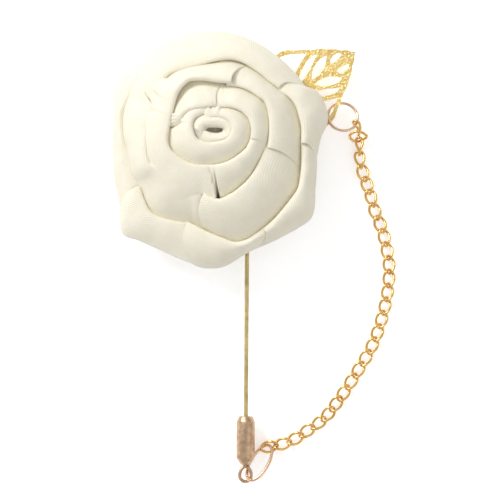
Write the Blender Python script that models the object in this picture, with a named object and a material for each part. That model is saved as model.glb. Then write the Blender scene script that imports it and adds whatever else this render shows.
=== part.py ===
"""Boutonniere: a folded-ribbon rose on a stick pin, with a filigree leaf, a curb chain and a push-on cap.

It lies on its back. The origin is the middle of the felt's underside, +Z points out of the rose and
the pin runs towards -Y. Sizes below are in millimetres and are scaled to metres when meshes are made.
"""

import math

import bmesh
import bpy
import numpy as np
from mathutils import Matrix, Vector

MM = 0.001

# Layers behind the rose, from the table up
FELT_RADIUS = 17.0
FELT_THICK = 1.5
PAD_CENTRE = (6.7, 3.0)
PAD_RADIUS = 5.5
PAD_LOW, PAD_HIGH = 1.85, 2.55
PIN_HEIGHT = 3.4
ROSE_BASE = 4.25

# Pin: where its axis enters the cap, how far it leans from -Y, and its reach each way from there
CAP_MOUTH = (6.3, -62.25, PIN_HEIGHT)
PIN_LEAN = math.radians(-0.4)
PIN_RADIUS = 0.515
PIN_ABOVE_MOUTH = 69.0
PIN_INSIDE_CAP = 7.4
PIN_POINT = 1.8

# Cap, as radius and distance from its mouth
CAP_RADIUS = 2.12
CAP_LIP = 1.55
CAP_CHAMFER = 1.25
CAP_SHOULDER = 9.8
CAP_END = 11.35
CAP_NECK = 1.05
CAP_BORE = 1.62
CAP_MOUTH_BORE = 1.15
CAP_NECK_BORE = 0.62
GRIP_RADIUS, GRIP_BORE = 1.5, 0.62
GRIP_START, GRIP_END = 1.2, 8.8
EYE_WIRE = 0.4
EYE_HALF_WIDTH, EYE_HALF_HEIGHT = 1.35, 1.75
EYE_CENTRE = 13.5
EYE_PLUG_START = 10.2

# Leaf: its tip, the way its midrib runs from the tip to the hidden stalk, and its plate
LEAF_TIP = (31.95, 22.9)
LEAF_TURN = math.radians(180.0 + 35.5)
LEAF_LOW, LEAF_THICK = 3.65, 0.3
LEAF_MARGIN = ((0.0, 0.0), (0.9, 0.7), (1.5, 1.6), (2.6, 2.25), (3.5, 3.3), (5.0, 4.35), (6.2, 5.35),
               (8.0, 6.3), (9.4, 7.3), (11.2, 8.4), (12.8, 9.6), (14.4, 10.25), (16.4, 10.1),
               (18.6, 8.6), (20.6, 6.3), (22.6, 3.4), (24.0, 1.0))
LEAF_OPENINGS = (
    ((2.9, 1.4), (4.3, 0.95), (6.3, 0.95), (6.1, 1.8), (4.8, 2.3), (3.5, 2.15)),
    ((8.3, 1.05), (10.0, 0.55), (12.2, 0.6), (11.2, 1.9), (9.4, 3.0), (7.6, 3.5), (6.0, 3.2), (7.1, 2.1)),
    ((9.1, 4.0), (10.8, 3.0), (13.3, 1.9), (15.6, 1.4), (14.6, 2.7), (12.6, 3.9), (10.6, 4.8),
     (8.8, 5.1), (7.7, 4.7)),
    ((9.6, 6.3), (12.0, 5.4), (15.0, 3.8), (17.6, 2.4), (17.6, 4.4), (17.2, 6.6), (16.6, 8.5),
     (14.9, 9.2), (12.4, 8.2), (10.7, 7.0)),
    ((19.2, 2.0), (21.6, 1.0), (21.4, 2.6), (19.9, 5.0), (18.4, 6.9), (18.7, 4.4)),
)

# Jump rings
RING_RADIUS, RING_WIRE = 3.54, 0.34
RING_CENTRE = (28.97, 7.68, LEAF_LOW + LEAF_THICK / 2)
RING_HINGE, RING_TILT = math.radians(160.0), math.radians(26.0)
OVAL_CENTRE = (9.48, -73.1, 2.96)
OVAL_LONG = (-2.4, -3.9, 1.6)
OVAL_SHORT = (1.7, -1.0, 1.8)
OVAL_WIRE = 0.4
RING_CUT = math.radians(3.0)

# Curb chain: half the length and width of a link's centreline, its wire, and its quarter turn of twist
LINK_HALF_LENGTH, LINK_HALF_WIDTH = 2.06, 1.24
LINK_WIRE = 0.325
LINK_TWIST = math.radians(45.0)
LINK_PITCH = 3.25
LINK_COUNT = 29
FIRST_FREE_LINK = 3
HOOK_LINK = ((32.38, 5.22, 3.31), (0.22, -0.81, -0.7), 71.3)
CROSS_LINK = ((32.6, 3.12, 2.18), (0.97, 0.0, -0.17), 17.5)
CHAIN_ROUTE = ((32.85, 0.86, 1.65), (33.0, -2.4, 1.4), (33.75, -5.5, 1.25), (34.8, -8.6, 1.4),
               (35.7, -11.5, 1.5), (36.5, -14.4, 1.3), (37.7, -17.4, 1.0), (38.7, -20.6, 0.95),
               (39.8, -27.0, 0.95), (39.4, -33.5, 0.95), (37.95, -40.0, 0.95), (35.7, -46.1, 0.95),
               (32.4, -51.8, 0.95), (28.8, -57.4, 1.05), (25.1, -62.3, 1.45), (22.6, -64.4, 1.6),
               (20.2, -66.0, 1.45), (17.6, -67.7, 1.25), (14.85, -68.8, 1.4), (11.75, -69.45, 1.56))
LINK_ROLLS = {3: 65.0, 4: 38.0, 5: 12.0, 6: 18.0, 7: 24.0, 8: 10.0,
              23: 6.0, 24: 14.0, 25: 22.0, 26: 10.0}
# How much closer two links sit for each degree that the second is rolled past the first, or short of it
PAST_SLACK, SHORT_SLACK = 0.02, 0.003

# Rose: the outline of its lowest fold, and each ring of folds as scale, centre and rim height
ROSE_OUTLINE = ((20.5, 16.5), (25.0, 9.0), (23.6, 3.0), (22.6, -9.0), (22.0, -15.5), (14.0, -20.5),
                (7.0, -24.0), (0.0, -27.5), (-7.0, -26.8), (-13.6, -23.4), (-22.5, -19.0),
                (-24.6, -8.0), (-24.6, 4.0), (-24.2, 14.5), (-17.6, 20.2), (-10.0, 25.6),
                (-3.0, 27.4), (7.5, 25.5), (15.7, 20.2))
ROSE_RINGS = ((1.00, 0.0, 0.0, 9.8), (0.80, -0.9, 0.4, 13.2), (0.575, -2.3, 1.8, 16.4),
              (0.39, -2.1, 5.2, 18.9), (0.21, -1.8, 5.0, 19.6))
ROSE_HEART = (0.05, -1.8, 5.0, 17.8)    # the hollow in the middle, as a last ring
ROSE_WAIST_SCALE, ROSE_WAIST_RISE = 0.90, 1.6
WALL_DROP = 1.2                         # foot of each fold's outer wall, below its rim
RIM_INSET = 0.02
SLOPE_INSET, SLOPE_DROP = 0.07, 0.7
TUCK_OUTSET, TUCK_DROP = 0.035, 1.8     # where a fold passes under the next ring in
PIN_TIP_SHARE = 0.12
BORE_START, BORE_LIP, BORE_END, NECK_BORE_START = 1.0, 0.6, 9.3, 10.3
GRIP_LEAD, GRIP_LEAD_LENGTH = 0.35, 0.5
EYE_DROP_SHAPE, PLUG_OVERLAP = 0.15, 0.1
OVAL_START = math.radians(20.0)
FELT_BEVEL, PAD_BEVEL = 0.25, 0.12
FELT_SIDES, PAD_SIDES, PIN_SIDES, CAP_SIDES, GRIP_SIDES = 56, 36, 16, 32, 24
EYE_POINTS, RING_POINTS, LINK_POINTS, CURVE_STEPS = 24, 33, 16, 8
ROSE_SIDES = 44
ROSE_FOOT_SCALE = 0.74


def material(name, colour, roughness, metallic):
    made = bpy.data.materials.new(name)
    made.use_nodes = True
    shader = made.node_tree.nodes["Principled BSDF"]
    shader.inputs["Base Color"].default_value = (*colour, 1.0)
    shader.inputs["Roughness"].default_value = roughness
    shader.inputs["Metallic"].default_value = metallic
    return made


def add_object(name, data, finish, matrix=None):
    piece = bpy.data.objects.new(name, data)
    bpy.context.scene.collection.objects.link(piece)
    data.materials.clear()
    data.materials.append(finish)
    if matrix is not None:
        piece.matrix_world = matrix
    return piece


def mesh_from(bm, name):
    bmesh.ops.recalc_face_normals(bm, faces=bm.faces)
    mesh = bpy.data.meshes.new(name)
    bm.to_mesh(mesh)
    bm.free()
    mesh.shade_smooth()
    mesh.set_sharp_from_angle(angle=math.radians(35.0))
    return mesh


def wire(name, points, radius, closed, resolution=2):
    """A round wire along a line of points, as a bevelled curve."""
    curve = bpy.data.curves.new(name, "CURVE")
    curve.dimensions = "3D"
    spline = curve.splines.new("POLY")
    spline.points.add(len(points) - 1)
    for slot, point in zip(spline.points, points):
        slot.co = (*(Vector(point) * MM), 1.0)
    spline.use_cyclic_u = closed
    curve.bevel_depth = radius * MM
    curve.bevel_resolution = resolution
    curve.use_fill_caps = not closed
    return curve


def smooth_line(points, steps):
    """A smooth curve through a list of points, with the given steps between each two."""
    ends = [points[0], *points, points[-1]]
    line = []
    for before, start, end, after in zip(ends, ends[1:], ends[2:], ends[3:]):
        before, start, end, after = (Vector(point) for point in (before, start, end, after))
        for step in range(steps):
            t = step / steps
            square = 2 * before - 5 * start + 4 * end - after
            cube = 3 * start - before - 3 * end + after
            line.append(0.5 * (2 * start + (end - before) * t + square * t ** 2 + cube * t ** 3))
    line.append(Vector(points[-1]))
    return line


def spaced(line, shares):
    """Points along a line, its ends among them, with the given shares of its length between them."""
    line = np.array(line)
    travelled = np.concatenate([[0.0], np.cumsum(np.linalg.norm(np.diff(line, axis=0), axis=1))])
    stops = np.concatenate([[0.0], np.cumsum(shares)]) * travelled[-1] / np.sum(shares)
    return np.column_stack([np.interp(stops, travelled, line[:, axis]) for axis in range(3)])


def disc(name, centre, radius, low, high, sides, bevel, finish):
    bm = bmesh.new()
    bmesh.ops.create_cone(bm, cap_ends=True, segments=sides, radius1=radius * MM, radius2=radius * MM,
                          depth=(high - low) * MM)
    bmesh.ops.translate(bm, vec=Vector((*centre, (low + high) / 2)) * MM, verts=bm.verts)
    rims = [edge for edge in bm.edges if abs(edge.verts[0].co.z - edge.verts[1].co.z) < 1e-7]
    bmesh.ops.bevel(bm, geom=rims, offset=bevel * MM, segments=1, affect="EDGES")
    return add_object(name, mesh_from(bm, name), finish)


def turned(name, profile, sides, finish, matrix):
    """A closed profile of radius and distance, spun about the part's own Z axis."""
    bm = bmesh.new()
    corners = [bm.verts.new((radius * MM, 0.0, along * MM)) for radius, along in profile]
    edges = [bm.edges.new(pair) for pair in zip(corners, corners[1:] + corners[:1])]
    bmesh.ops.spin(bm, geom=corners + edges, cent=(0, 0, 0), axis=(0, 0, 1), angle=math.tau,
                   steps=sides, use_merge=True)
    bmesh.ops.remove_doubles(bm, verts=bm.verts, dist=1e-7)
    return add_object(name, mesh_from(bm, name), finish, matrix)


def rose_outline_radius(angles):
    """The outline's distance from the middle at each angle, smoothed through its points."""
    closed = [Vector((*point, 0.0)) for point in ROSE_OUTLINE]
    line = np.array(smooth_line([closed[-1], *closed, closed[0], closed[1]], CURVE_STEPS))
    around = np.unwrap(np.arctan2(line[:, 1], line[:, 0]))
    order = np.argsort(around)
    return np.interp(angles, around[order], np.hypot(line[order, 0], line[order, 1]), period=math.tau)


def rose_sections():
    """Rings of scale, centre and height from the foot, over each fold's rim, to the middle."""
    sections = [(ROSE_FOOT_SCALE, 0.0, 0.0, ROSE_BASE),
                (ROSE_WAIST_SCALE, 0.0, 0.0, ROSE_BASE + ROSE_WAIST_RISE)]
    rings = [*ROSE_RINGS, ROSE_HEART]
    for (scale, x, y, rim), (inner, inner_x, inner_y, _) in zip(rings, rings[1:]):
        sections.append((scale, x, y, rim - WALL_DROP))
        sections.append((scale - RIM_INSET, x, y, rim))
        sections.append((scale - SLOPE_INSET, x, y, rim - SLOPE_DROP))
        sections.append((inner + TUCK_OUTSET, inner_x, inner_y, rim - TUCK_DROP))
    return sections


def build_rose(finish):
    angles = np.linspace(0.0, math.tau, ROSE_SIDES, endpoint=False)
    radii = rose_outline_radius(angles)
    bm = bmesh.new()
    loops = []
    for scale, x, y, height in rose_sections():
        places = [(x + scale * r * math.cos(a), y + scale * r * math.sin(a)) for a, r in zip(angles, radii)]
        loops.append([bm.verts.new(Vector((*place, height)) * MM) for place in places])
    for lower, upper in zip(loops, loops[1:]):
        for i in range(ROSE_SIDES):
            j = (i + 1) % ROSE_SIDES
            bm.faces.new((lower[i], lower[j], upper[j], upper[i]))
    bm.faces.new(loops[0])
    bm.faces.new(loops[-1])
    return add_object("ribbon_rose", mesh_from(bm, "ribbon_rose"), finish)


def build_leaf(finish):
    """The stamped leaf: its outline and openings filled as one sheet, then given its thickness."""
    margin = [*LEAF_MARGIN, *[(u, -v) for u, v in reversed(LEAF_MARGIN[1:])]]
    loops = [margin, *LEAF_OPENINGS, *[tuple((u, -v) for u, v in opening) for opening in LEAF_OPENINGS]]
    bm = bmesh.new()
    edges = []
    for loop in loops:
        corners = [bm.verts.new((u * MM, v * MM, 0.0)) for u, v in loop]
        edges += [bm.edges.new(pair) for pair in zip(corners, corners[1:] + corners[:1])]
    bmesh.ops.triangle_fill(bm, use_beauty=True, edges=edges)
    grown = bmesh.ops.extrude_face_region(bm, geom=bm.faces[:])
    top = [item for item in grown["geom"] if isinstance(item, bmesh.types.BMVert)]
    bmesh.ops.translate(bm, vec=(0.0, 0.0, LEAF_THICK * MM), verts=top)
    place = Matrix.Translation(Vector((*LEAF_TIP, LEAF_LOW)) * MM) @ Matrix.Rotation(LEAF_TURN, 4, "Z")
    return add_object("leaf", mesh_from(bm, "leaf"), finish, place)


def build_pin_and_cap(pin_finish, cap_finish, grip_finish):
    """The pin frame's own +Z runs from the cap's mouth towards its eye."""
    mouth = Matrix.Translation(Vector(CAP_MOUTH) * MM)
    frame = mouth @ Matrix.Rotation(PIN_LEAN, 4, "Z") @ Matrix.Rotation(math.radians(90.0), 4, "X")

    bm = bmesh.new()
    shaft = PIN_ABOVE_MOUTH + PIN_INSIDE_CAP - PIN_POINT
    bmesh.ops.create_cone(bm, cap_ends=True, segments=PIN_SIDES, radius1=PIN_RADIUS * MM,
                          radius2=PIN_RADIUS * MM, depth=shaft * MM)
    bmesh.ops.translate(bm, vec=(0.0, 0.0, (shaft / 2 - PIN_ABOVE_MOUTH) * MM), verts=bm.verts)
    end = max(bm.faces, key=lambda face: face.calc_center_median().z)
    point = bmesh.ops.extrude_face_region(bm, geom=[end])
    tip = [item for item in point["geom"] if isinstance(item, bmesh.types.BMVert)]
    bmesh.ops.delete(bm, geom=[end], context="FACES_ONLY")
    for vert in tip:
        vert.co = Vector((vert.co.x * PIN_TIP_SHARE, vert.co.y * PIN_TIP_SHARE, vert.co.z + PIN_POINT * MM))
    add_object("pin_stem", mesh_from(bm, "pin_stem"), pin_finish, frame)

    barrel = [(CAP_MOUTH_BORE, 0.0), (CAP_LIP, 0.0), (CAP_RADIUS, CAP_CHAMFER), (CAP_RADIUS, CAP_SHOULDER),
              (CAP_NECK, CAP_END), (CAP_NECK_BORE, CAP_END), (CAP_NECK_BORE, NECK_BORE_START),
              (CAP_BORE, BORE_END), (CAP_BORE, BORE_START), (CAP_MOUTH_BORE, BORE_LIP)]
    turned("cap_barrel", barrel, CAP_SIDES, cap_finish, frame)
    grip = [(GRIP_BORE + GRIP_LEAD, GRIP_START), (GRIP_RADIUS, GRIP_START), (GRIP_RADIUS, GRIP_END),
            (GRIP_BORE, GRIP_END), (GRIP_BORE, GRIP_START + GRIP_LEAD_LENGTH)]
    turned("cap_grip", grip, GRIP_SIDES, grip_finish, frame)
    build_eye(cap_finish, frame)


def build_eye(finish, frame):
    """A drop-shaped wire eye on a short plug that sits in the cap's neck."""
    turns = np.linspace(0.0, math.tau, EYE_POINTS, endpoint=False)
    line = [(EYE_HALF_WIDTH * math.sin(t) * (1.0 - EYE_DROP_SHAPE * math.cos(t)), 0.0,
             EYE_CENTRE - EYE_HALF_HEIGHT * math.cos(t)) for t in turns]
    guide = bpy.data.objects.new("eye_guide", wire("eye_guide", line, EYE_WIRE, True))
    bpy.context.scene.collection.objects.link(guide)
    bpy.context.view_layer.update()
    mesh = bpy.data.meshes.new_from_object(guide)
    bpy.data.objects.remove(guide)
    eye = add_object("cap_eye", mesh, finish, frame)

    bm = bmesh.new()
    plug_end = EYE_CENTRE - EYE_HALF_HEIGHT + PLUG_OVERLAP
    bmesh.ops.create_cone(bm, cap_ends=True, segments=PIN_SIDES, radius1=EYE_WIRE * MM,
                          radius2=EYE_WIRE * MM, depth=(plug_end - EYE_PLUG_START) * MM)
    bmesh.ops.translate(bm, vec=(0.0, 0.0, (plug_end + EYE_PLUG_START) / 2 * MM), verts=bm.verts)
    plug = add_object("eye_plug_shape", mesh_from(bm, "eye_plug_shape"), finish, frame)
    plug.hide_render = True
    plug.display_type = "WIRE"
    join = eye.modifiers.new("plug", "BOOLEAN")
    join.operation = "UNION"
    join.object = plug


def build_rings(finish):
    cut = np.linspace(RING_CUT / 2, math.tau - RING_CUT / 2, RING_POINTS)
    hinge = Matrix.Rotation(RING_HINGE, 4, "Z") @ Matrix.Rotation(RING_TILT, 4, "X")
    place = Matrix.Translation(Vector(RING_CENTRE) * MM) @ hinge
    line = [(RING_RADIUS * math.cos(t), RING_RADIUS * math.sin(t), 0.0) for t in cut]
    add_object("upper_jump_ring", wire("upper_jump_ring", line, RING_WIRE, False), finish, place)

    centre, long, short = (Vector(value) for value in (OVAL_CENTRE, OVAL_LONG, OVAL_SHORT))
    line = [centre + long * math.cos(OVAL_START + t) + short * math.sin(OVAL_START + t) for t in cut]
    add_object("lower_jump_ring", wire("lower_jump_ring", line, OVAL_WIRE, False), finish)


def link_matrix(centre, along, roll):
    """A link's place: its own X runs along the chain and roll turns it about that line."""
    along = Vector(along).normalized()
    side = Vector((0.0, 0.0, 1.0)).cross(along).normalized()
    up = along.cross(side)
    turn = Matrix((along, side, up)).transposed().to_4x4()
    return Matrix.Translation(Vector(centre) * MM) @ turn @ Matrix.Rotation(math.radians(roll), 4, "X")


def build_chain(finish):
    turns = np.linspace(0.0, math.tau, LINK_POINTS, endpoint=False)
    line = []
    for t in turns:
        x = LINK_HALF_LENGTH * math.cos(t)
        reach = LINK_HALF_WIDTH * math.sin(t)
        twist = LINK_TWIST * math.cos(t)
        line.append((x, reach * math.cos(twist), reach * math.sin(twist)))
    link = wire("curb_link", line, LINK_WIRE, True, resolution=1)

    rolls = np.array([LINK_ROLLS.get(number, 0.0) for number in range(FIRST_FREE_LINK, LINK_COUNT + 1)])
    change = np.diff(rolls)
    shares = LINK_PITCH - PAST_SLACK * np.maximum(change, 0.0) + SHORT_SLACK * np.minimum(change, 0.0)
    centres = spaced(smooth_line(CHAIN_ROUTE, CURVE_STEPS), shares)
    directions = np.gradient(centres, axis=0)
    places = [link_matrix(*HOOK_LINK), link_matrix(*CROSS_LINK)]
    places += [link_matrix(*place) for place in zip(centres, directions, rolls)]
    for number, place in enumerate(places, start=1):
        add_object(f"chain_link_{number:02d}", link, finish, place)


def main():
    for piece in list(bpy.data.objects):
        bpy.data.objects.remove(piece)
    ribbon = material("ivory_ribbon", (0.86, 0.83, 0.72), 0.6, 0.0)
    felt = material("ivory_felt", (0.80, 0.77, 0.68), 0.95, 0.0)
    gold = material("yellow_gold", (0.80, 0.58, 0.20), 0.3, 1.0)
    leaf_gold = material("stamped_gold", (0.78, 0.63, 0.24), 0.42, 1.0)
    rose_gold = material("rose_gold", (0.66, 0.47, 0.35), 0.35, 1.0)
    brass = material("dull_brass", (0.50, 0.42, 0.20), 0.45, 1.0)
    nylon = material("nylon", (0.85, 0.83, 0.78), 0.5, 0.0)

    build_rose(ribbon)
    disc("felt_backing", (0.0, 0.0), FELT_RADIUS, 0.0, FELT_THICK, FELT_SIDES, FELT_BEVEL, felt)
    disc("pin_pad", PAD_CENTRE, PAD_RADIUS, PAD_LOW, PAD_HIGH, PAD_SIDES, PAD_BEVEL, brass)
    build_pin_and_cap(brass, rose_gold, nylon)
    build_leaf(leaf_gold)
    build_rings(rose_gold)
    build_chain(gold)


main()
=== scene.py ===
"""The looks of a boutonniere: a ribbon rose on a stick pin, with a filigree leaf, a curb chain and a cap."""

from __future__ import annotations

import logging
import math
from dataclasses import dataclass, field
from enum import Enum

import bmesh
import bpy
import numpy as np
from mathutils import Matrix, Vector

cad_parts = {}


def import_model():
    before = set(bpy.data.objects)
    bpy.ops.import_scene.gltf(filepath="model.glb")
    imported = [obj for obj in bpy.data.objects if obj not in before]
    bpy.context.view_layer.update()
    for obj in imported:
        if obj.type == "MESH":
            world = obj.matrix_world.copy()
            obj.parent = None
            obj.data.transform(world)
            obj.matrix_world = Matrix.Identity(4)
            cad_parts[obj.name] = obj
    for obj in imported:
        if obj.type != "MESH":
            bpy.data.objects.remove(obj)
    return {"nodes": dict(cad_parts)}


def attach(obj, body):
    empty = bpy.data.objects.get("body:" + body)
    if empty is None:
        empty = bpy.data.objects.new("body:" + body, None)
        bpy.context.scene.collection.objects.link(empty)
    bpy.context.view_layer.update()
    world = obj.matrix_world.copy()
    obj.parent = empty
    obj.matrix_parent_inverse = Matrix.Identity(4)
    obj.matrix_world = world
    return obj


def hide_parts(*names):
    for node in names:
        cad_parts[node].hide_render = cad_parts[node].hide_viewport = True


LOG = logging.getLogger("boutonniere")
MM = 0.001
BODY = "root"
Plan = tuple[tuple[float, float], ...]


class Slot(Enum):
    """The record's material slots."""

    RIBBON = "ribbon"
    FELT = "felt"
    BRASS = "pin_brass"
    LEAF = "leaf_gold"
    CHAIN = "chain_gold"
    ROSE_GOLD = "rose_gold"
    NYLON = "nylon"


# ---------------------------------------------------------------- meshes


def mesh_object(name: str, points: np.ndarray, faces: np.ndarray,
                uv: np.ndarray | None = None) -> bpy.types.Object:
    """Put points and four-sided faces into a new smooth-shaded object.

    Args:
        name: The piece's name.
        points: Points in millimetres, one row each.
        faces: Four point numbers to a row.
        uv: One pair for each point, in millimetres of cloth.

    Returns:
        The new object, at the origin.
    """
    mesh = bpy.data.meshes.new(name)
    mesh.from_pydata((points * MM).tolist(), [], faces.tolist())
    mesh.polygons.foreach_set("use_smooth", np.ones(len(mesh.polygons), dtype=bool))
    if uv is not None:
        corners = np.empty(len(mesh.loops), dtype=np.int32)
        mesh.loops.foreach_get("vertex_index", corners)
        layer = mesh.uv_layers.new(name="weave")
        layer.data.foreach_set("uv", uv[corners].ravel())
    mesh.update()
    piece = bpy.data.objects.new(name, mesh)
    bpy.context.scene.collection.objects.link(piece)
    return piece


def grid_faces(rows: int, columns: int, wrap_rows: bool = False, wrap_columns: bool = False) -> np.ndarray:
    """Four-sided faces between neighbouring rows and columns of a grid of points.

    Args:
        rows: Points along the first direction.
        columns: Points along the second direction.
        wrap_rows: Whether the last row joins the first.
        wrap_columns: Whether the last column joins the first.

    Returns:
        Point numbers, four to a face.
    """
    i = np.arange(rows if wrap_rows else rows - 1)[:, None]
    j = np.arange(columns if wrap_columns else columns - 1)[None, :]
    below, right = (i + 1) % rows, (j + 1) % columns
    corners = (i * columns + j, below * columns + j, below * columns + right, i * columns + right)
    return np.stack([np.broadcast_to(c, (i.size, j.size)).ravel() for c in corners], axis=1)


def smooth_path(points: np.ndarray, count: int, closed: bool = False) -> np.ndarray:
    """A smooth curve through points, read at equal steps of its length.

    Between two points it is the cubic that leaves each along the line between that point's neighbours.

    Args:
        points: Points to pass through.
        count: How many points to return.
        closed: Whether the curve joins its own start.

    Returns:
        The curve's points.
    """
    points = np.asarray(points, dtype=float)
    if closed:
        padded = np.concatenate([points[-1:], points, points[:2]])
    else:
        padded = np.concatenate([2 * points[:1] - points[1:2], points, 2 * points[-1:] - points[-2:-1]])
    t = np.linspace(0.0, 1.0, 24, endpoint=False)[None, :, None]
    a, b, c, d = (padded[k:len(padded) - 3 + k][:, None, :] for k in range(4))
    curve = 0.5 * (2 * b + (c - a) * t + (2 * a - 5 * b + 4 * c - d) * t**2 + (3 * b - a - 3 * c + d) * t**3)
    curve = np.concatenate([curve.reshape(-1, points.shape[1]), padded[-2:-1]])
    travelled = np.concatenate([[0.0], np.cumsum(np.linalg.norm(np.diff(curve, axis=0), axis=1))])
    stops = np.linspace(0.0, travelled[-1], count, endpoint=not closed)
    return np.column_stack([np.interp(stops, travelled, curve[:, k]) for k in range(points.shape[1])])


def tube(name: str, path: np.ndarray, radius: float | np.ndarray, sides: int,
         closed: bool) -> bpy.types.Object:
    """A round wire: a circle carried along a path, square to it, with its ends closed to a point.

    Args:
        name: The piece's name.
        path: Points along the wire's middle, in millimetres.
        radius: The wire's radius, or one for each point.
        sides: Points around the wire.
        closed: Whether the wire joins its own start.

    Returns:
        The wire's object.
    """
    if closed:
        along = np.roll(path, -1, axis=0) - np.roll(path, 1, axis=0)
    else:
        along = np.gradient(path, axis=0)
    along /= np.linalg.norm(along, axis=1, keepdims=True)
    guide = np.tile([0.0, 0.0, 1.0], (len(path), 1))
    if np.abs(along[:, 2]).max() > 0.98:
        guide = np.tile([0.0, 1.0, 0.0], (len(path), 1))
    up = guide - (guide * along).sum(axis=1, keepdims=True) * along
    up /= np.linalg.norm(up, axis=1, keepdims=True)
    side = np.cross(along, up)
    turn = np.linspace(0.0, math.tau, sides, endpoint=False)
    reach = np.broadcast_to(np.asarray(radius, dtype=float), (len(path),))[:, None, None]
    ring = np.cos(turn)[None, :, None] * side[:, None, :] + np.sin(turn)[None, :, None] * up[:, None, :]
    points = path[:, None, :] + reach * ring
    if not closed:
        points = np.concatenate([np.repeat(path[:1, None, :], sides, axis=1), points,
                                 np.repeat(path[-1:, None, :], sides, axis=1)])
    piece = mesh_object(name, points.reshape(-1, 3), grid_faces(len(points), sides, closed, True))
    return cleaned(piece)


def cleaned(piece: bpy.types.Object, distance: float = 0.002) -> bpy.types.Object:
    """Merge a piece's doubled points and turn its faces outwards."""
    bm = bmesh.new()
    bm.from_mesh(piece.data)
    bmesh.ops.remove_doubles(bm, verts=bm.verts, dist=distance * MM)
    bmesh.ops.recalc_face_normals(bm, faces=bm.faces)
    bm.to_mesh(piece.data)
    bm.free()
    return piece


def dressed(piece: bpy.types.Object, finish: bpy.types.Material, slot: Slot,
            *nodes: str) -> bpy.types.Object:
    """Give a piece its material and the body it rides on, and hide the nodes it stands for."""
    piece.data.materials.clear()
    piece.data.materials.append(finish)
    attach(piece, BODY)
    if nodes:
        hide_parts(*nodes)
    LOG.info("%s: %d points", piece.name, len(piece.data.vertices))
    return piece


# ---------------------------------------------------------------- finishes


class Shader:
    """A material under construction, with short calls for the nodes used here."""

    def __init__(self, name: str) -> None:
        """Start a material that holds only its Principled shader and its coordinates."""
        self.material = bpy.data.materials.new(name)
        self.material.use_nodes = True
        self.nodes = self.material.node_tree.nodes
        self.links = self.material.node_tree.links
        self.principled = self.nodes["Principled BSDF"]
        self.coordinates = self.nodes.new("ShaderNodeTexCoord")

    def node(self, kind: str, inputs: dict | None = None, **settings) -> bpy.types.Node:
        """Add a node, set its properties, and set or link its inputs."""
        made = self.nodes.new(kind)
        for key, value in settings.items():
            setattr(made, key, value)
        for key, value in (inputs or {}).items():
            if isinstance(value, bpy.types.NodeSocket):
                self.links.new(value, made.inputs[key])
            else:
                made.inputs[key].default_value = value
        return made

    def noise(self, scale: float, detail: float = 3.0, uv: bool = False) -> bpy.types.NodeSocket:
        """A noise pattern with the given number of waves to a metre, or to a unit of the weave's map."""
        source = self.coordinates.outputs["UV" if uv else "Object"]
        made = self.node("ShaderNodeTexNoise", {"Vector": source, "Scale": scale, "Detail": detail})
        return made.outputs["Fac"]

    def mix(self, factor: bpy.types.NodeSocket, first: tuple, second: tuple) -> bpy.types.NodeSocket:
        """A colour between two, by a factor."""
        ramp = self.node("ShaderNodeValToRGB", {"Fac": factor})
        ramp.color_ramp.elements[0].position = 0.3
        ramp.color_ramp.elements[1].position = 0.7
        ramp.color_ramp.elements[0].color = (*first, 1.0)
        ramp.color_ramp.elements[1].color = (*second, 1.0)
        return ramp.outputs["Color"]

    def span(self, value: bpy.types.NodeSocket, low: float, high: float) -> bpy.types.NodeSocket:
        """A value from 0 to 1 spread from low to high."""
        made = self.node("ShaderNodeMapRange", {"Value": value, "To Min": low, "To Max": high})
        return made.outputs["Result"]

    def bump(self, height: bpy.types.NodeSocket, strength: float, distance: float,
             under: bpy.types.NodeSocket | None = None) -> bpy.types.NodeSocket:
        """A bump of the given depth in metres, over another where one is given."""
        inputs = {"Height": height, "Strength": strength, "Distance": distance}
        if under is not None:
            inputs["Normal"] = under
        return self.node("ShaderNodeBump", inputs).outputs["Normal"]

    def set(self, **values) -> bpy.types.Material:
        """Set or link the Principled shader's inputs, named with _ for a space."""
        for key, value in values.items():
            socket = self.principled.inputs[key.replace("_", " ")]
            if isinstance(value, bpy.types.NodeSocket):
                self.links.new(value, socket)
            else:
                socket.default_value = value
        return self.material


@dataclass(frozen=True)
class Ribbon:
    """Fine ribbed ribbon with a soft silk sheen and painted shade in the grooves between its ribs. The rib
    runs along the weave map's second axis.
    """

    light: tuple = (0.95, 0.905, 0.765)
    deep: tuple = (0.92, 0.865, 0.70)
    # painted shade: a darker colour for the grooves between the ribs
    painted_groove_shade: tuple = (0.74, 0.68, 0.52, 1.0)
    rib: float = 0.42
    rib_depth: float = 0.0001
    # painted shade: how far the grooves' colour is mixed towards that darker colour at most
    painted_groove_shade_share: float = 0.10
    warp_fineness: float = 1.4

    def material(self) -> bpy.types.Material:
        """Build the ribbon's material."""
        shader = Shader("ivory_ribbon")
        uv = shader.coordinates.outputs["UV"]
        waves = 1.0 / (3.0 * self.rib)
        rib = shader.node("ShaderNodeTexWave", {"Vector": uv, "Scale": waves, "Distortion": 0.25,
                                                "Detail": 1.0, "Detail Scale": 0.4},
                          wave_type="BANDS", bands_direction="X").outputs["Fac"]
        warp = shader.node("ShaderNodeTexWave", {"Vector": uv, "Scale": waves * self.warp_fineness,
                                                 "Distortion": 0.6},
                           wave_type="BANDS", bands_direction="Y").outputs["Fac"]
        cloudy = shader.noise(0.35, 4.0, uv=True)
        colour = shader.mix(cloudy, self.deep, self.light)
        # painted shade: the colour is mixed towards the darker groove colour where the rib's bands are low
        shade = shader.node("ShaderNodeMix", {"Factor": shader.span(rib, self.painted_groove_shade_share, 0.0), 6: colour,
                                              7: self.painted_groove_shade}, data_type="RGBA")
        fine = shader.bump(warp, 0.25, self.rib_depth * 0.5)
        normal = shader.bump(rib, 0.6, self.rib_depth, fine)
        return shader.set(Base_Color=shade.outputs[2], Roughness=0.58, Normal=normal,
                          Sheen_Weight=0.2, Sheen_Roughness=0.4, Specular_IOR_Level=0.35)


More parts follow.
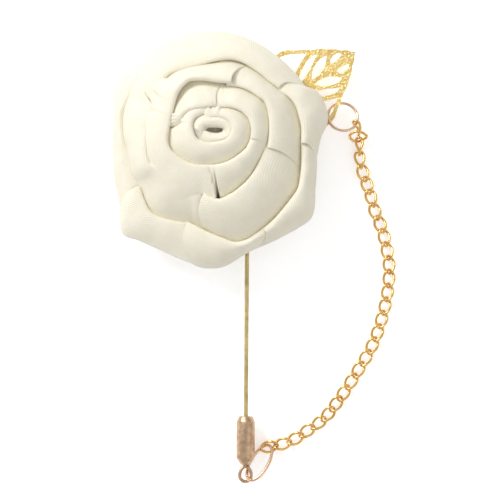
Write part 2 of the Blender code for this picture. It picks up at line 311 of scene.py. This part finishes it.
@dataclass(frozen=True)
class Felt:
    """Matted wool felt."""

    light: tuple = (0.86, 0.83, 0.74)
    deep: tuple = (0.74, 0.70, 0.60)

    def material(self) -> bpy.types.Material:
        """Build the felt's material."""
        shader = Shader("ivory_felt")
        fibres = shader.noise(2600.0, 8.0)
        colour = shader.mix(fibres, self.deep, self.light)
        return shader.set(Base_Color=colour, Roughness=0.95, Sheen_Weight=0.4,
                          Normal=shader.bump(fibres, 0.8, 0.0002))


@dataclass(frozen=True)
class Plate:
    """Plated metal with a grain, worn patches and a roughness that wanders between two values."""

    name: str
    light: tuple
    deep: tuple
    smooth: float
    rough: float
    grain: float
    grain_depth: float
    patch: float = 500.0
    brushed: float = 0.0

    def material(self) -> bpy.types.Material:
        """Build the metal's material."""
        shader = Shader(self.name)
        patches = shader.noise(self.patch, 4.0)
        grain = shader.noise(self.grain, 3.0)
        if self.brushed > 0.0:
            stretched = shader.node("ShaderNodeMapping", {"Vector": shader.coordinates.outputs["Object"],
                                                          "Scale": (1.0, 1.0 / self.brushed, 1.0)})
            grain = shader.node("ShaderNodeTexNoise", {"Vector": stretched.outputs["Vector"],
                                                       "Scale": self.grain, "Detail": 4.0}).outputs["Fac"]
        colour = shader.mix(patches, self.deep, self.light)
        return shader.set(Base_Color=colour, Metallic=1.0,
                          Roughness=shader.span(grain, self.smooth, self.rough),
                          Normal=shader.bump(grain, 0.7, self.grain_depth))


@dataclass(frozen=True)
class Nylon:
    """Plain moulded nylon."""

    colour: tuple = (0.85, 0.83, 0.78)

    def material(self) -> bpy.types.Material:
        """Build the nylon's material."""
        shader = Shader("nylon")
        grain = shader.noise(1500.0)
        return shader.set(Base_Color=(*self.colour, 1.0), Roughness=shader.span(grain, 0.4, 0.55),
                          Normal=shader.bump(grain, 0.3, 0.00003))


CHAIN_GOLD = Plate("yellow_gold", (0.90, 0.62, 0.25), (0.72, 0.44, 0.14), 0.14, 0.34, 1800.0, 0.00003)
LEAF_GOLD = Plate("stamped_gold", (1.0, 0.78, 0.36), (0.80, 0.57, 0.19), 0.24, 0.5, 2000.0, 0.0005)
ROSE_GOLD = Plate("rose_gold", (0.90, 0.68, 0.50), (0.68, 0.47, 0.33), 0.2, 0.4, 1500.0, 0.00003)
CAP_GOLD = Plate("brushed_rose_gold", (0.70, 0.50, 0.33), (0.42, 0.27, 0.16), 0.25, 0.5, 3800.0, 0.0001,
                 900.0, 5.0)
DULL_BRASS = Plate("dull_brass", (0.72, 0.59, 0.30), (0.46, 0.36, 0.15), 0.35, 0.6, 2200.0, 0.00008)


# ---------------------------------------------------------------- rose


LAST_RING = 4
RIM_BELOW = {0: 18.6, 1: 17.6, 2: 15.6, 3: 11.4, 4: 8.4}    # the height of the rim beyond each ring
FOOT_TUCK, FOOT_DROP = 0.9, 2.8                             # a foot's place under and below that rim
FALL_POWER = 1.6
START_SPREAD, END_SPREAD = 0.14, 0.12                       # shares of the rim over which the ends dip
SLANT_POWER = 6
RIPPLE, RIPPLE_WAVES, RIPPLE_SHIFT = 0.10, 7.0, 3.0
WALL_LEAN, WALL_TOP = 0.25, 0.12
SKIRT_TUCK, SKIRT_POWER = 0.16, 1.5
SKIRT_BULGE, SKIRT_BULGE_RATE = 0.30, 1.4
SKIRT_CLEARANCE = 0.4
ALONG, ACROSS, SECTION_STEPS, SKIRT_STEPS = 110, 34, 7, 9
SECTORS = 180
CORE_SHARES = (0.0, 0.12, 0.24, 0.36, 0.52, 0.68, 0.8, 0.93)
CORE_HEIGHTS = (15.0, 15.0, 14.4, 13.3, 11.0, 8.8, 7.0, 5.2)
CORE_INNER_SHARE, CORE_ROUNDS, CORE_SIDES, CORE_WEAVE = 0.003, 60, 120, 10.0
OUTER_FOLDS = {
    0: ("bud_roll",),
    1: ("roll_upper", "roll_right", "roll_lower", "roll_left"),
    2: ("roll_left", "fold_upper_right", "fold_lower_right", "fold_left"),
    3: ("petal_top", "petal_right", "petal_lower_right", "petal_bottom", "petal_lower_left", "petal_left"),
}


@dataclass(frozen=True)
class Fold:
    """One fold of the ribbon, from its rim outwards and down until it passes under the next ring.

    Sizes are in millimetres. The rim is given in plan, from the tucked start to the laid-over end.
    """

    name: str
    rim: Plan
    ring: int
    crown: float
    start_dip: float = 0.7
    end_dip: float = 0.3
    start_slant: float = 0.0
    end_slant: float = 0.0
    weave: float = 0.0
    belly: float = 0.3
    inner_drop: float = 4.0
    lip: float = 0.7


@dataclass
class RibbonRose:
    """The rose: folds of one ribbon, laid like tiles in rings around a rolled bud."""

    centre: tuple[float, float] = (-1.5, 4.6)
    base: float = 4.25
    thickness: float = 0.32
    ribbon_width: float = 40.0
    skirt: Plan = ((20.5, 16.5), (23.6, 13.0), (25.3, 9.0), (25.2, 6.4), (23.7, 3.2), (23.2, -3.0),
                   (22.6, -9.4), (22.2, -14.6), (20.4, -17.0), (14.0, -20.6), (7.0, -24.0),
                   (1.8, -27.0), (-1.8, -27.7), (-6.8, -26.9), (-13.6, -23.4), (-19.0, -21.1),
                   (-22.9, -18.9), (-24.2, -9.4), (-24.7, -4.0), (-24.6, 4.0), (-24.3, 13.2),
                   (-23.4, 15.4), (-17.8, 20.1), (-13.6, 24.1), (-8.4, 26.6), (-3.0, 27.6), (2.4, 27.2),
                   (7.5, 25.6), (13.0, 22.4), (16.6, 19.6))
    folds: tuple[Fold, ...] = field(default_factory=lambda: (
        Fold("bud_tongue", ((-4.6, 4.4), (-3.6, 5.9), (-1.2, 6.3), (1.2, 6.0), (2.4, 4.9), (2.2, 3.4),
             (0.4, 2.5), (-1.8, 2.5), (-3.8, 3.2)), 0, 19.3, 0.2, 0.2, weave=20.0, lip=1.3),
        Fold("bud_roll", ((-3.3, 7.7), (0.2, 7.8), (2.6, 7.0), (3.6, 5.2), (3.2, 3.3), (1.7, 1.6),
             (-1.4, 0.9), (-3.9, 1.1), (-5.6, 2.2), (-6.5, 4.2), (-6.6, 6.0), (-6.0, 7.4), (-4.6, 8.3),
             (-2.4, 8.8)), 1, 19.6, 0.9, 1.2, weave=65.0),
        Fold("roll_upper", ((-8.9, 5.2), (-8.9, 7.5), (-7.5, 9.1), (-5.6, 9.8), (-2.6, 10.3),
             (-0.5, 10.7)), 2, 19.2, 2.6, 0.5, 12.0, -8.0, weave=100.0),
        Fold("roll_right", ((-1.2, 10.0), (2.1, 10.3), (4.9, 9.6), (6.8, 8.2), (7.7, 6.8), (8.2, 4.7),
             (8.0, 2.3)), 2, 19.0, 0.9, 0.5, 18.0, -10.0, weave=62.0),
        Fold("roll_lower", ((8.2, 3.2), (7.9, 2.0), (7.0, 0.0), (5.6, -1.4), (3.3, -3.0), (0.7, -4.0),
             (-2.1, -4.4)), 2, 18.7, 0.8, 0.4, -6.0, 4.0, weave=118.0),
        Fold("roll_left", ((-1.0, -4.2), (-5.6, -4.2), (-7.7, -3.5), (-10.1, -1.9), (-11.9, 0.0),
             (-12.4, 2.3), (-11.9, 5.9), (-11.0, 9.8), (-10.1, 12.9), (-8.7, 15.0), (-6.8, 16.4),
             (-3.8, 16.6), (-0.9, 16.2), (3.0, 15.9)), 3, 18.2, 0.8, 0.4, 4.0, -14.0, weave=75.0),
        Fold("fold_upper_right", ((1.8, 15.4), (4.9, 15.0), (7.3, 14.1), (9.6, 12.6), (11.0, 11.5),
             (11.9, 9.4), (12.4, 5.9), (12.2, 2.3), (11.8, 0.2)), 3, 17.2, 0.9, 0.5, 24.0, -8.0,
             weave=55.0),
        Fold("fold_lower_right", ((11.9, 1.2), (11.2, -0.2), (10.1, -2.8), (8.7, -5.6), (6.8, -8.0),
             (4.4, -10.1), (2.6, -11.2), (0.2, -12.2), (-2.1, -11.7), (-3.7, -10.8)), 3, 16.8, 0.9, 0.4,
             -8.0, 6.0, weave=125.0),
        Fold("fold_left", ((-2.8, -10.9), (-6.8, -8.4), (-10.3, -6.6), (-13.8, -4.7), (-16.2, -3.7),
             (-16.9, -1.9), (-17.1, 0.0), (-17.1, 2.3), (-16.6, 5.9), (-16.2, 8.2), (-14.8, 9.8)), 3,
             16.2, 0.9, 0.6, 6.0, -16.0, weave=80.0),
        Fold("petal_top", ((-14.6, 8.6), (-14.4, 12.9), (-13.8, 15.2), (-12.6, 17.1), (-10.3, 18.5),
             (-4.4, 20.1), (-0.9, 21.1), (2.6, 21.5), (6.1, 20.6), (9.6, 18.3), (11.9, 16.4),
             (14.4, 14.6)), 4, 14.0, 1.0, 0.5, -8.0, -12.0, weave=20.0),
        Fold("petal_right", ((13.6, 15.0), (15.2, 13.6), (17.1, 12.2), (18.5, 10.3), (19.4, 7.5),
             (19.9, 4.8), (19.8, 1.4)), 4, 13.6, 1.0, 0.5, -14.0, -8.0, weave=85.0),
        Fold("petal_lower_right", ((19.8, 2.4), (19.9, -2.3), (19.7, -5.9), (19.0, -9.4), (17.1, -12.2),
             (15.0, -14.8), (13.1, -16.9), (10.8, -19.0)), 4, 12.8, 1.0, 0.4, -8.0, -6.0, weave=112.0),
        Fold("petal_bottom", ((12.0, -17.8), (8.4, -20.6), (6.1, -21.8), (3.7, -22.2), (1.4, -21.5),
             (-2.1, -20.1), (-4.4, -19.0), (-7.6, -17.4)), 4, 12.2, 1.0, 0.4, -6.0, 6.0, weave=60.0),
        Fold("petal_lower_left", ((-6.4, -17.7), (-10.3, -17.3), (-14.3, -16.2), (-16.6, -14.5),
             (-18.0, -11.7), (-18.9, -8.6)), 4, 11.8, 1.0, 0.4, 5.0, 3.0, weave=130.0),
        Fold("petal_left", ((-18.4, -10.2), (-19.9, -6.6), (-20.8, -3.5), (-21.5, -0.5), (-22.5, 2.3),
             (-22.9, 7.0), (-22.3, 9.8), (-20.8, 12.9), (-19.2, 15.2), (-17.6, 17.8), (-15.6, 19.6)), 4,
             11.4, 1.0, 3.2, 4.0, 0.0, weave=88.0),
    ))

    def ring_distance(self, ring: int, angles: np.ndarray) -> np.ndarray:
        """How far from the middle the folds beyond a ring begin, at each angle.

        Args:
            ring: The ring whose folds pass under the ones asked for.
            angles: Directions from the rose's middle, in radians.

        Returns:
            Distances in millimetres; the skirt's edge beyond the last ring.
        """
        if ring == LAST_RING:
            outline = smooth_path(np.array(self.skirt), 360, closed=True)
        else:
            named = {fold.name: fold for fold in self.folds}
            rims = [smooth_path(np.array(named[name].rim), 60) for name in OUTER_FOLDS[ring]]
            outline = np.concatenate(rims)
        outline = outline - self.centre
        around = np.arctan2(outline[:, 1], outline[:, 0])
        distance = np.hypot(outline[:, 0], outline[:, 1])
        bins = np.linspace(-math.pi, math.pi, SECTORS + 1)
        index = np.clip(np.digitize(around, bins) - 1, 0, SECTORS - 1)
        total = np.bincount(index, weights=distance, minlength=SECTORS)
        hits = np.bincount(index, minlength=SECTORS)
        known = np.nonzero(hits)[0]
        middles = (bins[:-1] + bins[1:]) / 2
        return np.interp(angles, middles[known], total[known] / hits[known], period=math.tau)

    def fold_surface(self, fold: Fold, along: int, across: int) -> tuple[np.ndarray, np.ndarray]:
        """The fold's sheet as a function of place along the rim and place across the ribbon.

        In section it climbs the inner wall, turns over the rounded rim and runs out and down to its foot,
        which lies under the next ring's rim, or on the skirt's edge. Its height falls as the run to the
        power FALL_POWER. The rim dips at both ends, so that each fold starts under the one before. Both ends
        are slanted by swinging the sheet's points around the rose in step with their distance from the rim.

        Args:
            fold: The fold to shape.
            along: Points along the rim.
            across: Points across the ribbon on the outer face.

        Returns:
            The points, as a grid of rows along the rim, and their places on the weave map, row by row.
        """
        u = np.linspace(0.0, 1.0, along)
        rim = smooth_path(np.array(fold.rim), along)
        tangent = np.gradient(rim, axis=0)
        tangent /= np.linalg.norm(tangent, axis=1, keepdims=True)
        outward = np.column_stack([tangent[:, 1], -tangent[:, 0]])
        away = rim - self.centre
        outward *= np.sign((outward * away).sum(axis=1).mean())
        angles = np.arctan2(away[:, 1], away[:, 0])
        rim_distance = np.hypot(away[:, 0], away[:, 1])

        foot_distance = self.ring_distance(fold.ring, angles)
        last = fold.ring == LAST_RING
        foot_distance = np.maximum(foot_distance + (0.0 if last else FOOT_TUCK), rim_distance + FOOT_TUCK)
        foot_height = RIM_BELOW[fold.ring] - (0.0 if last else FOOT_DROP)
        dip = fold.start_dip * np.exp(-u / START_SPREAD)
        dip = dip + fold.end_dip * np.exp(-(1.0 - u) / END_SPREAD)
        crown = fold.crown - dip

        t = np.linspace(0.0, 1.0, across)[None, :]
        slant = np.radians(fold.start_slant) * (1.0 - u) ** SLANT_POWER
        slant = slant + np.radians(fold.end_slant) * u**SLANT_POWER
        swing = angles[:, None] + slant[:, None] * t
        run = foot_distance - rim_distance
        reach = rim_distance[:, None] + run[:, None] * t
        middle = np.array(self.centre)
        straight = middle + reach[..., None] * np.stack([np.cos(swing), np.sin(swing)], axis=-1)
        near = rim[:, None, :] + (run[:, None] * t)[..., None] * outward[:, None, :]
        plan = near * (1.0 - t[..., None]) + straight * t[..., None]
        fall = (crown - foot_height)[:, None]
        height = crown[:, None] - fall * t**FALL_POWER + fold.belly * np.sin(math.pi * t)
        ripple = np.sin(RIPPLE_WAVES * math.pi * u[:, None] + RIPPLE_SHIFT * t)
        height += RIPPLE * ripple * np.sin(math.pi * t)
        face = np.concatenate([plan, height[..., None]], axis=-1)

        turn = np.linspace(0.0, 1.0, SECTION_STEPS)[None, :-1]
        bend = math.pi / 2 * turn
        over = rim[:, None, :] - (fold.lip * np.cos(bend))[..., None] * outward[:, None, :]
        roll_height = crown[:, None] - fold.lip * (1.0 - np.sin(bend))
        roll = np.concatenate([over, roll_height[..., None]], axis=-1)
        down = np.linspace(1.0, WALL_TOP, SECTION_STEPS)[None, :]
        wall_plan = rim[:, None, :] - (fold.lip + WALL_LEAN * down)[..., None] * outward[:, None, :]
        wall_height = crown[:, None] - fold.lip - fold.inner_drop * down
        wall = np.concatenate([wall_plan, wall_height[..., None]], axis=-1)
        if last:
            tuck = np.linspace(0.0, 1.0, SKIRT_STEPS)[None, 1:]
            bulge = SKIRT_BULGE * np.sin(math.pi * np.minimum(tuck * SKIRT_BULGE_RATE, 1.0))
            out = foot_distance[:, None] * (1.0 - SKIRT_TUCK * tuck**SKIRT_POWER) + bulge
            direction = np.stack([np.cos(swing[:, -1:]), np.sin(swing[:, -1:])], axis=-1)
            under_plan = middle + out[..., None] * direction
            under_height = foot_height - (foot_height - self.base - SKIRT_CLEARANCE) * tuck
            under_height = np.broadcast_to(under_height, under_plan.shape[:2])
            under = np.concatenate([under_plan, under_height[..., None]], axis=-1)
            face = np.concatenate([face, under], axis=1)
        sheet = np.concatenate([wall, roll, face], axis=1)

        step_u = np.linalg.norm(np.diff(sheet, axis=0, prepend=sheet[:1]), axis=-1).mean(axis=1)
        step_v = np.linalg.norm(np.diff(sheet, axis=1, prepend=sheet[:, :1]), axis=-1)
        travelled = np.broadcast_to(np.cumsum(step_u)[:, None], step_v.shape)
        cloth = np.stack([travelled, np.cumsum(step_v, axis=1)], axis=-1)
        spin = math.radians(fold.weave)
        turned = np.stack([cloth[..., 0] * math.cos(spin) + cloth[..., 1] * math.sin(spin),
                           cloth[..., 1] * math.cos(spin) - cloth[..., 0] * math.sin(spin)], axis=-1)
        return sheet, turned.reshape(-1, 2)

    def build(self, finish: bpy.types.Material) -> list[bpy.types.Object]:
        """Args:
            finish: The ribbon's material.

        Returns:
            The folds.
        """
        made = []
        for fold in self.folds:
            closed = fold.name == "bud_tongue"
            sheet, uv = self.fold_surface(fold, ALONG, ACROSS)
            rows, columns = sheet.shape[:2]
            faces = grid_faces(rows, columns, closed)
            piece = mesh_object(fold.name, sheet.reshape(-1, 3), faces, uv)
            thick = piece.modifiers.new("thickness", "SOLIDIFY")
            thick.thickness = self.thickness * MM
            thick.offset = -1.0
            dressed(piece, finish, Slot.RIBBON, "ribbon_rose")
            made.append(piece)
        made.append(self.core(finish))
        return made

    def core(self, finish: bpy.types.Material) -> bpy.types.Object:
        """Make a filler that stands in for the wound inner layers and closes the gaps between the folds.

        It is a low dome in rounds about the middle, each round a share of the way to the skirt's edge, with
        its height read from a short profile of that share.

        Args:
            finish: The ribbon's material.

        Returns:
            The core.
        """
        share = np.linspace(CORE_INNER_SHARE, CORE_SHARES[-1], CORE_ROUNDS)[:, None]
        turn = np.linspace(-math.pi, math.pi, CORE_SIDES, endpoint=False)
        radius = share * self.ring_distance(LAST_RING, turn)[None, :]
        height = np.interp(share, CORE_SHARES, CORE_HEIGHTS)
        points = np.stack([self.centre[0] + radius * np.cos(turn), self.centre[1] + radius * np.sin(turn),
                           np.broadcast_to(height, radius.shape)], axis=-1)
        around = np.broadcast_to(turn * CORE_WEAVE, radius.shape)
        uv = np.stack([around, radius], axis=-1).reshape(-1, 2)
        faces = grid_faces(CORE_ROUNDS, CORE_SIDES, False, True)
        piece = mesh_object("wound_core", points.reshape(-1, 3), faces, uv)
        thick = piece.modifiers.new("thickness", "SOLIDIFY")
        thick.thickness = self.thickness * MM
        thick.offset = 1.0
        dressed(piece, finish, Slot.RIBBON, "ribbon_rose")
        return piece

    @staticmethod
    def cloth_area(sheet: np.ndarray) -> float:
        """The sheet's area in square millimetres: half each cell's crossed diagonals, summed."""
        first = sheet[1:, 1:] - sheet[:-1, :-1]
        second = sheet[:-1, 1:] - sheet[1:, :-1]
        return float(np.linalg.norm(np.cross(first, second), axis=-1).sum() / 2)


@dataclass
class Backing:
    """The felt disc behind the rose and the brass pad that carries the pin."""

    radius: float = 17.0
    thickness: float = 1.5

    def build(self, felt: bpy.types.Material, brass: bpy.types.Material) -> None:
        """Make the felt as a disc with a soft edge, whose rim wanders by a sum of slow waves.

        Args:
            felt: The felt's material.
            brass: The pad's material.
        """
        turn = np.linspace(0.0, math.tau, 144, endpoint=False)
        profile = np.array([(0.0, 0.0), (0.5, 0.0), (0.9, 0.0), (0.985, 0.05), (1.0, 0.3), (1.0, 0.7),
                            (0.985, 0.95), (0.9, 1.0), (0.5, 1.0), (0.0, 1.0)])
        wander = 1.0 - 0.006 * (1.0 + np.sin(5 * turn + 1.0) * np.cos(11 * turn)) * 0.5
        reach = self.radius * profile[:, 0][:, None] * wander[None, :]
        points = np.stack([reach * np.cos(turn), reach * np.sin(turn),
                           np.broadcast_to(self.thickness * profile[:, 1][:, None], reach.shape)], axis=-1)
        faces = grid_faces(len(profile), len(turn), False, True)
        piece = cleaned(mesh_object("felt_disc", points.reshape(-1, 3), faces))
        dressed(piece, felt, Slot.FELT, "felt_backing")
        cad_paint("pin_pad", brass)


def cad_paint(node: str, finish: bpy.types.Material) -> None:
    """Give a CAD node that stays a better material."""
    node_object = FRAME["nodes"][node]
    node_object.data.materials.clear()
    node_object.data.materials.append(finish)


# ---------------------------------------------------------------- metal


@dataclass
class PinAndCap:
    """The pin's wire, the cap's barrel and its eye, on one axis that leans a little from -Y."""

    mouth: tuple[float, float, float] = (6.3, -62.25, 3.4)
    lean: float = math.radians(-0.4)
    pin_radius: float = 0.515
    pin_above: float = 69.0
    pin_inside: float = 7.4
    eye_wire: float = 0.4
    eye_half_width: float = 1.35
    eye_half_height: float = 1.75
    eye_centre: float = 13.5

    def placed(self, across: np.ndarray, up: np.ndarray, along: np.ndarray) -> np.ndarray:
        """Points from their distance across, above and along the axis, measured from the cap's mouth."""
        axis = np.array([math.sin(self.lean), -math.cos(self.lean), 0.0])
        side = np.array([math.cos(self.lean), math.sin(self.lean), 0.0])
        return (np.array(self.mouth) + across[..., None] * side + up[..., None] * np.array([0.0, 0.0, 1.0])
                + along[..., None] * axis)

    def build(self, brass: bpy.types.Material, plate: bpy.types.Material, nylon: bpy.types.Material) -> None:
        """Make the pin, the barrel and the eye, and dress the grip inside.

        Args:
            brass: The pin's material.
            plate: The cap's material.
            nylon: The grip's material.
        """
        along = np.linspace(-self.pin_above, self.pin_inside, 260)
        waver = self.pin_radius * (1.0 - 0.02 + 0.02 * np.sin(along * 1.9) * np.sin(along * 0.7))
        taper = np.clip((self.pin_inside - along) / 1.8, 0.1, 1.0)
        path = self.placed(np.zeros_like(along), np.zeros_like(along), along)
        dressed(tube("pin_wire", path, waver * taper, 20, False), brass, Slot.BRASS, "pin_stem")

        mouth_edge = [(1.15, 0.6), (1.15, 0.06), (1.22, 0.0), (1.50, 0.0), (1.58, 0.05)]
        outside = [(2.06, 1.12), (2.12, 1.36), (2.12, 9.62), (2.08, 9.86), (1.12, 11.22), (1.0, 11.35)]
        bore = [(0.62, 11.35), (0.62, 10.3), (1.62, 9.3), (1.62, 1.0)]
        profile = np.array(mouth_edge + outside + bore)
        turn = np.linspace(0.0, math.tau, 72, endpoint=False)
        reach = profile[:, 0][:, None]
        points = self.placed(reach * np.cos(turn), reach * np.sin(turn),
                             np.broadcast_to(profile[:, 1][:, None], (len(profile), len(turn))))
        faces = grid_faces(len(profile), len(turn), True, True)
        barrel = mesh_object("cap_shell", points.reshape(-1, 3), faces)
        soften = barrel.modifiers.new("soft_edges", "BEVEL")
        soften.width = 0.04 * MM
        soften.segments = 2
        soften.limit_method = "ANGLE"
        dressed(cleaned(barrel), plate, Slot.ROSE_GOLD, "cap_barrel")

        t = np.linspace(0.0, math.tau, 64, endpoint=False)
        ring = self.placed(self.eye_half_width * np.sin(t) * (1.0 - 0.15 * np.cos(t)), np.zeros_like(t),
                           self.eye_centre - self.eye_half_height * np.cos(t))
        dressed(tube("cap_loop", ring, self.eye_wire, 16, True), plate, Slot.ROSE_GOLD, "cap_eye")
        stem_along = np.linspace(10.2, self.eye_centre - self.eye_half_height, 8)
        stem = self.placed(np.zeros_like(stem_along), np.zeros_like(stem_along), stem_along)
        dressed(tube("cap_loop_stem", stem, self.eye_wire * 0.98, 16, False), plate, Slot.ROSE_GOLD)
        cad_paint("cap_grip", nylon)


@dataclass
class Links:
    """The curb chain's links and the two jump rings."""

    half_length: float = 2.06
    half_width: float = 1.24
    wire: float = 0.325
    twist: float = math.radians(45.0)
    count: int = 29
    ring_radius: float = 3.54
    ring_wire: float = 0.34
    ring_centre: tuple[float, float, float] = (28.97, 7.68, 3.8)
    ring_hinge: float = math.radians(160.0)
    ring_tilt: float = math.radians(26.0)
    oval_centre: tuple[float, float, float] = (9.48, -73.1, 2.96)
    oval_long: tuple[float, float, float] = (-2.4, -3.9, 1.6)
    oval_short: tuple[float, float, float] = (1.7, -1.0, 1.8)
    oval_wire: float = 0.4
    cut: float = math.radians(3.0)

    def link_path(self, node: str) -> np.ndarray:
        """A link's centreline, laid on the CAD link's own middle and main directions.

        The line is an ellipse whose plane turns by a quarter from one end to the other.

        Args:
            node: The CAD link's name.

        Returns:
            Points in millimetres.
        """
        mesh = FRAME["nodes"][node].data
        points = np.empty(len(mesh.vertices) * 3)
        mesh.vertices.foreach_get("co", points)
        points = np.unique(np.round(points.reshape(-1, 3) / MM, 4), axis=0)
        middle = points.mean(axis=0)
        _, _, main = np.linalg.svd(points - middle, full_matrices=False)
        along, side = main[0], main[1]
        up = np.cross(along, side)
        t = np.linspace(0.0, math.tau, 56, endpoint=False)
        reach = self.half_width * np.sin(t)
        turn = self.twist * np.cos(t)
        return (middle + (self.half_length * np.cos(t))[:, None] * along
                + (reach * np.cos(turn))[:, None] * side + (reach * np.sin(turn))[:, None] * up)

    def build(self, gold: bpy.types.Material, plate: bpy.types.Material) -> None:
        """Make every link and both rings.

        Args:
            gold: The chain's material.
            plate: The rings' material.
        """
        for number in range(1, self.count + 1):
            node = f"chain_link_{number:02d}"
            piece = tube(f"curb_link_{number:02d}", self.link_path(node), self.wire, 14, True)
            dressed(piece, gold, Slot.CHAIN, node)
        t = np.linspace(self.cut / 2, math.tau - self.cut / 2, 120)
        flat = np.column_stack([np.cos(t), np.sin(t), np.zeros_like(t)]) * self.ring_radius
        tilt, hinge = self.ring_tilt, self.ring_hinge
        raised = np.column_stack([flat[:, 0], flat[:, 1] * math.cos(tilt), flat[:, 1] * math.sin(tilt)])
        path = np.column_stack([raised[:, 0] * math.cos(hinge) - raised[:, 1] * math.sin(hinge),
                                raised[:, 0] * math.sin(hinge) + raised[:, 1] * math.cos(hinge),
                                raised[:, 2]])
        dressed(tube("jump_ring_upper", path + self.ring_centre, self.ring_wire, 18, False), plate,
                Slot.ROSE_GOLD, "upper_jump_ring")
        t = t + math.radians(20.0)
        path = (np.array(self.oval_centre) + np.cos(t)[:, None] * np.array(self.oval_long)
                + np.sin(t)[:, None] * np.array(self.oval_short))
        dressed(tube("jump_ring_lower", path, self.oval_wire, 18, False), plate, Slot.ROSE_GOLD,
                "lower_jump_ring")


# ---------------------------------------------------------------- studio


@dataclass
class Studio:
    """Camera, white floor and soft lights."""

    aim: tuple[float, float] = (0.00726, -0.0234)
    width: float = 0.1171
    distance: float = 1.5
    sensor: float = 36.0
    floor_glow: float = 0.42
    world_strength: float = 0.62

    def camera(self) -> None:
        """Look straight down on the piece through a long lens."""
        data = bpy.data.cameras.new("camera")
        data.sensor_width = self.sensor
        data.lens = self.sensor * self.distance / self.width
        data.clip_start, data.clip_end = 0.01, 20.0
        eye = bpy.data.objects.new("camera", data)
        eye.location = (*self.aim, self.distance)
        bpy.context.scene.collection.objects.link(eye)
        bpy.context.scene.camera = eye

    def floor(self) -> None:
        """A white floor that keeps the soft shadow and reads as white."""
        side = 3.0
        corners = np.array([(-side, -side, 0.0), (side, -side, 0.0), (side, side, 0.0),
                            (-side, side, 0.0)]) / MM
        floor = mesh_object("floor", corners, np.array([[0, 1, 2, 3]]))
        floor.location.z = -0.0002
        shader = Shader("white_floor")
        path = shader.node("ShaderNodeLightPath")
        rays = {0: path.outputs["Is Camera Ray"], 1: path.outputs["Is Glossy Ray"]}
        seen = shader.node("ShaderNodeMath", rays, operation="MAXIMUM")
        glow = shader.node("ShaderNodeMath", {0: seen.outputs[0], 1: self.floor_glow}, operation="MULTIPLY")
        floor.data.materials.append(shader.set(Base_Color=(0.9, 0.9, 0.905, 1.0), Roughness=0.9,
                                               Specular_IOR_Level=0.0, Emission_Color=(1.0, 1.0, 1.0, 1.0),
                                               Emission_Strength=glow.outputs[0]))

    def lamp(self, name: str, place: tuple, size: float, watts: float) -> None:
        """A square area lamp that faces the rose."""
        data = bpy.data.lights.new(name, "AREA")
        data.size = size
        data.energy = watts
        lamp = bpy.data.objects.new(name, data)
        lamp.location = place
        lamp.rotation_euler = (Vector((0.0, -0.02, 0.0)) - Vector(place)).to_track_quat("-Z", "Y").to_euler()
        bpy.context.scene.collection.objects.link(lamp)

    def lights(self) -> None:
        """Soft light from the upper left, fill from the right, and a pale world."""
        self.lamp("key", (-0.62, 0.62, 0.62), 0.35, 7.4)
        self.lamp("fill", (0.65, -0.25, 0.8), 0.7, 0.9)
        world = bpy.data.worlds.new("world")
        world.use_nodes = True
        world.node_tree.nodes["Background"].inputs["Color"].default_value = (1.0, 1.0, 1.0, 1.0)
        world.node_tree.nodes["Background"].inputs["Strength"].default_value = self.world_strength
        bpy.context.scene.world = world
        bpy.context.scene.view_settings.view_transform = "Standard"


def main() -> None:
    """Build the piece in order and report each part."""
    logging.basicConfig(level=logging.INFO, format="%(message)s")
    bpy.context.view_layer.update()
    studio = Studio()
    studio.camera()
    brass = DULL_BRASS.material()
    RibbonRose().build(Ribbon().material())
    Backing().build(Felt().material(), brass)
    PinAndCap().build(brass, CAP_GOLD.material(), Nylon().material())
    Links().build(CHAIN_GOLD.material(), ROSE_GOLD.material())
    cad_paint("leaf", LEAF_GOLD.material())
    studio.floor()
    studio.lights()
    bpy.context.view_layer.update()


if __name__ == "__main__":
    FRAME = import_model()
    main()
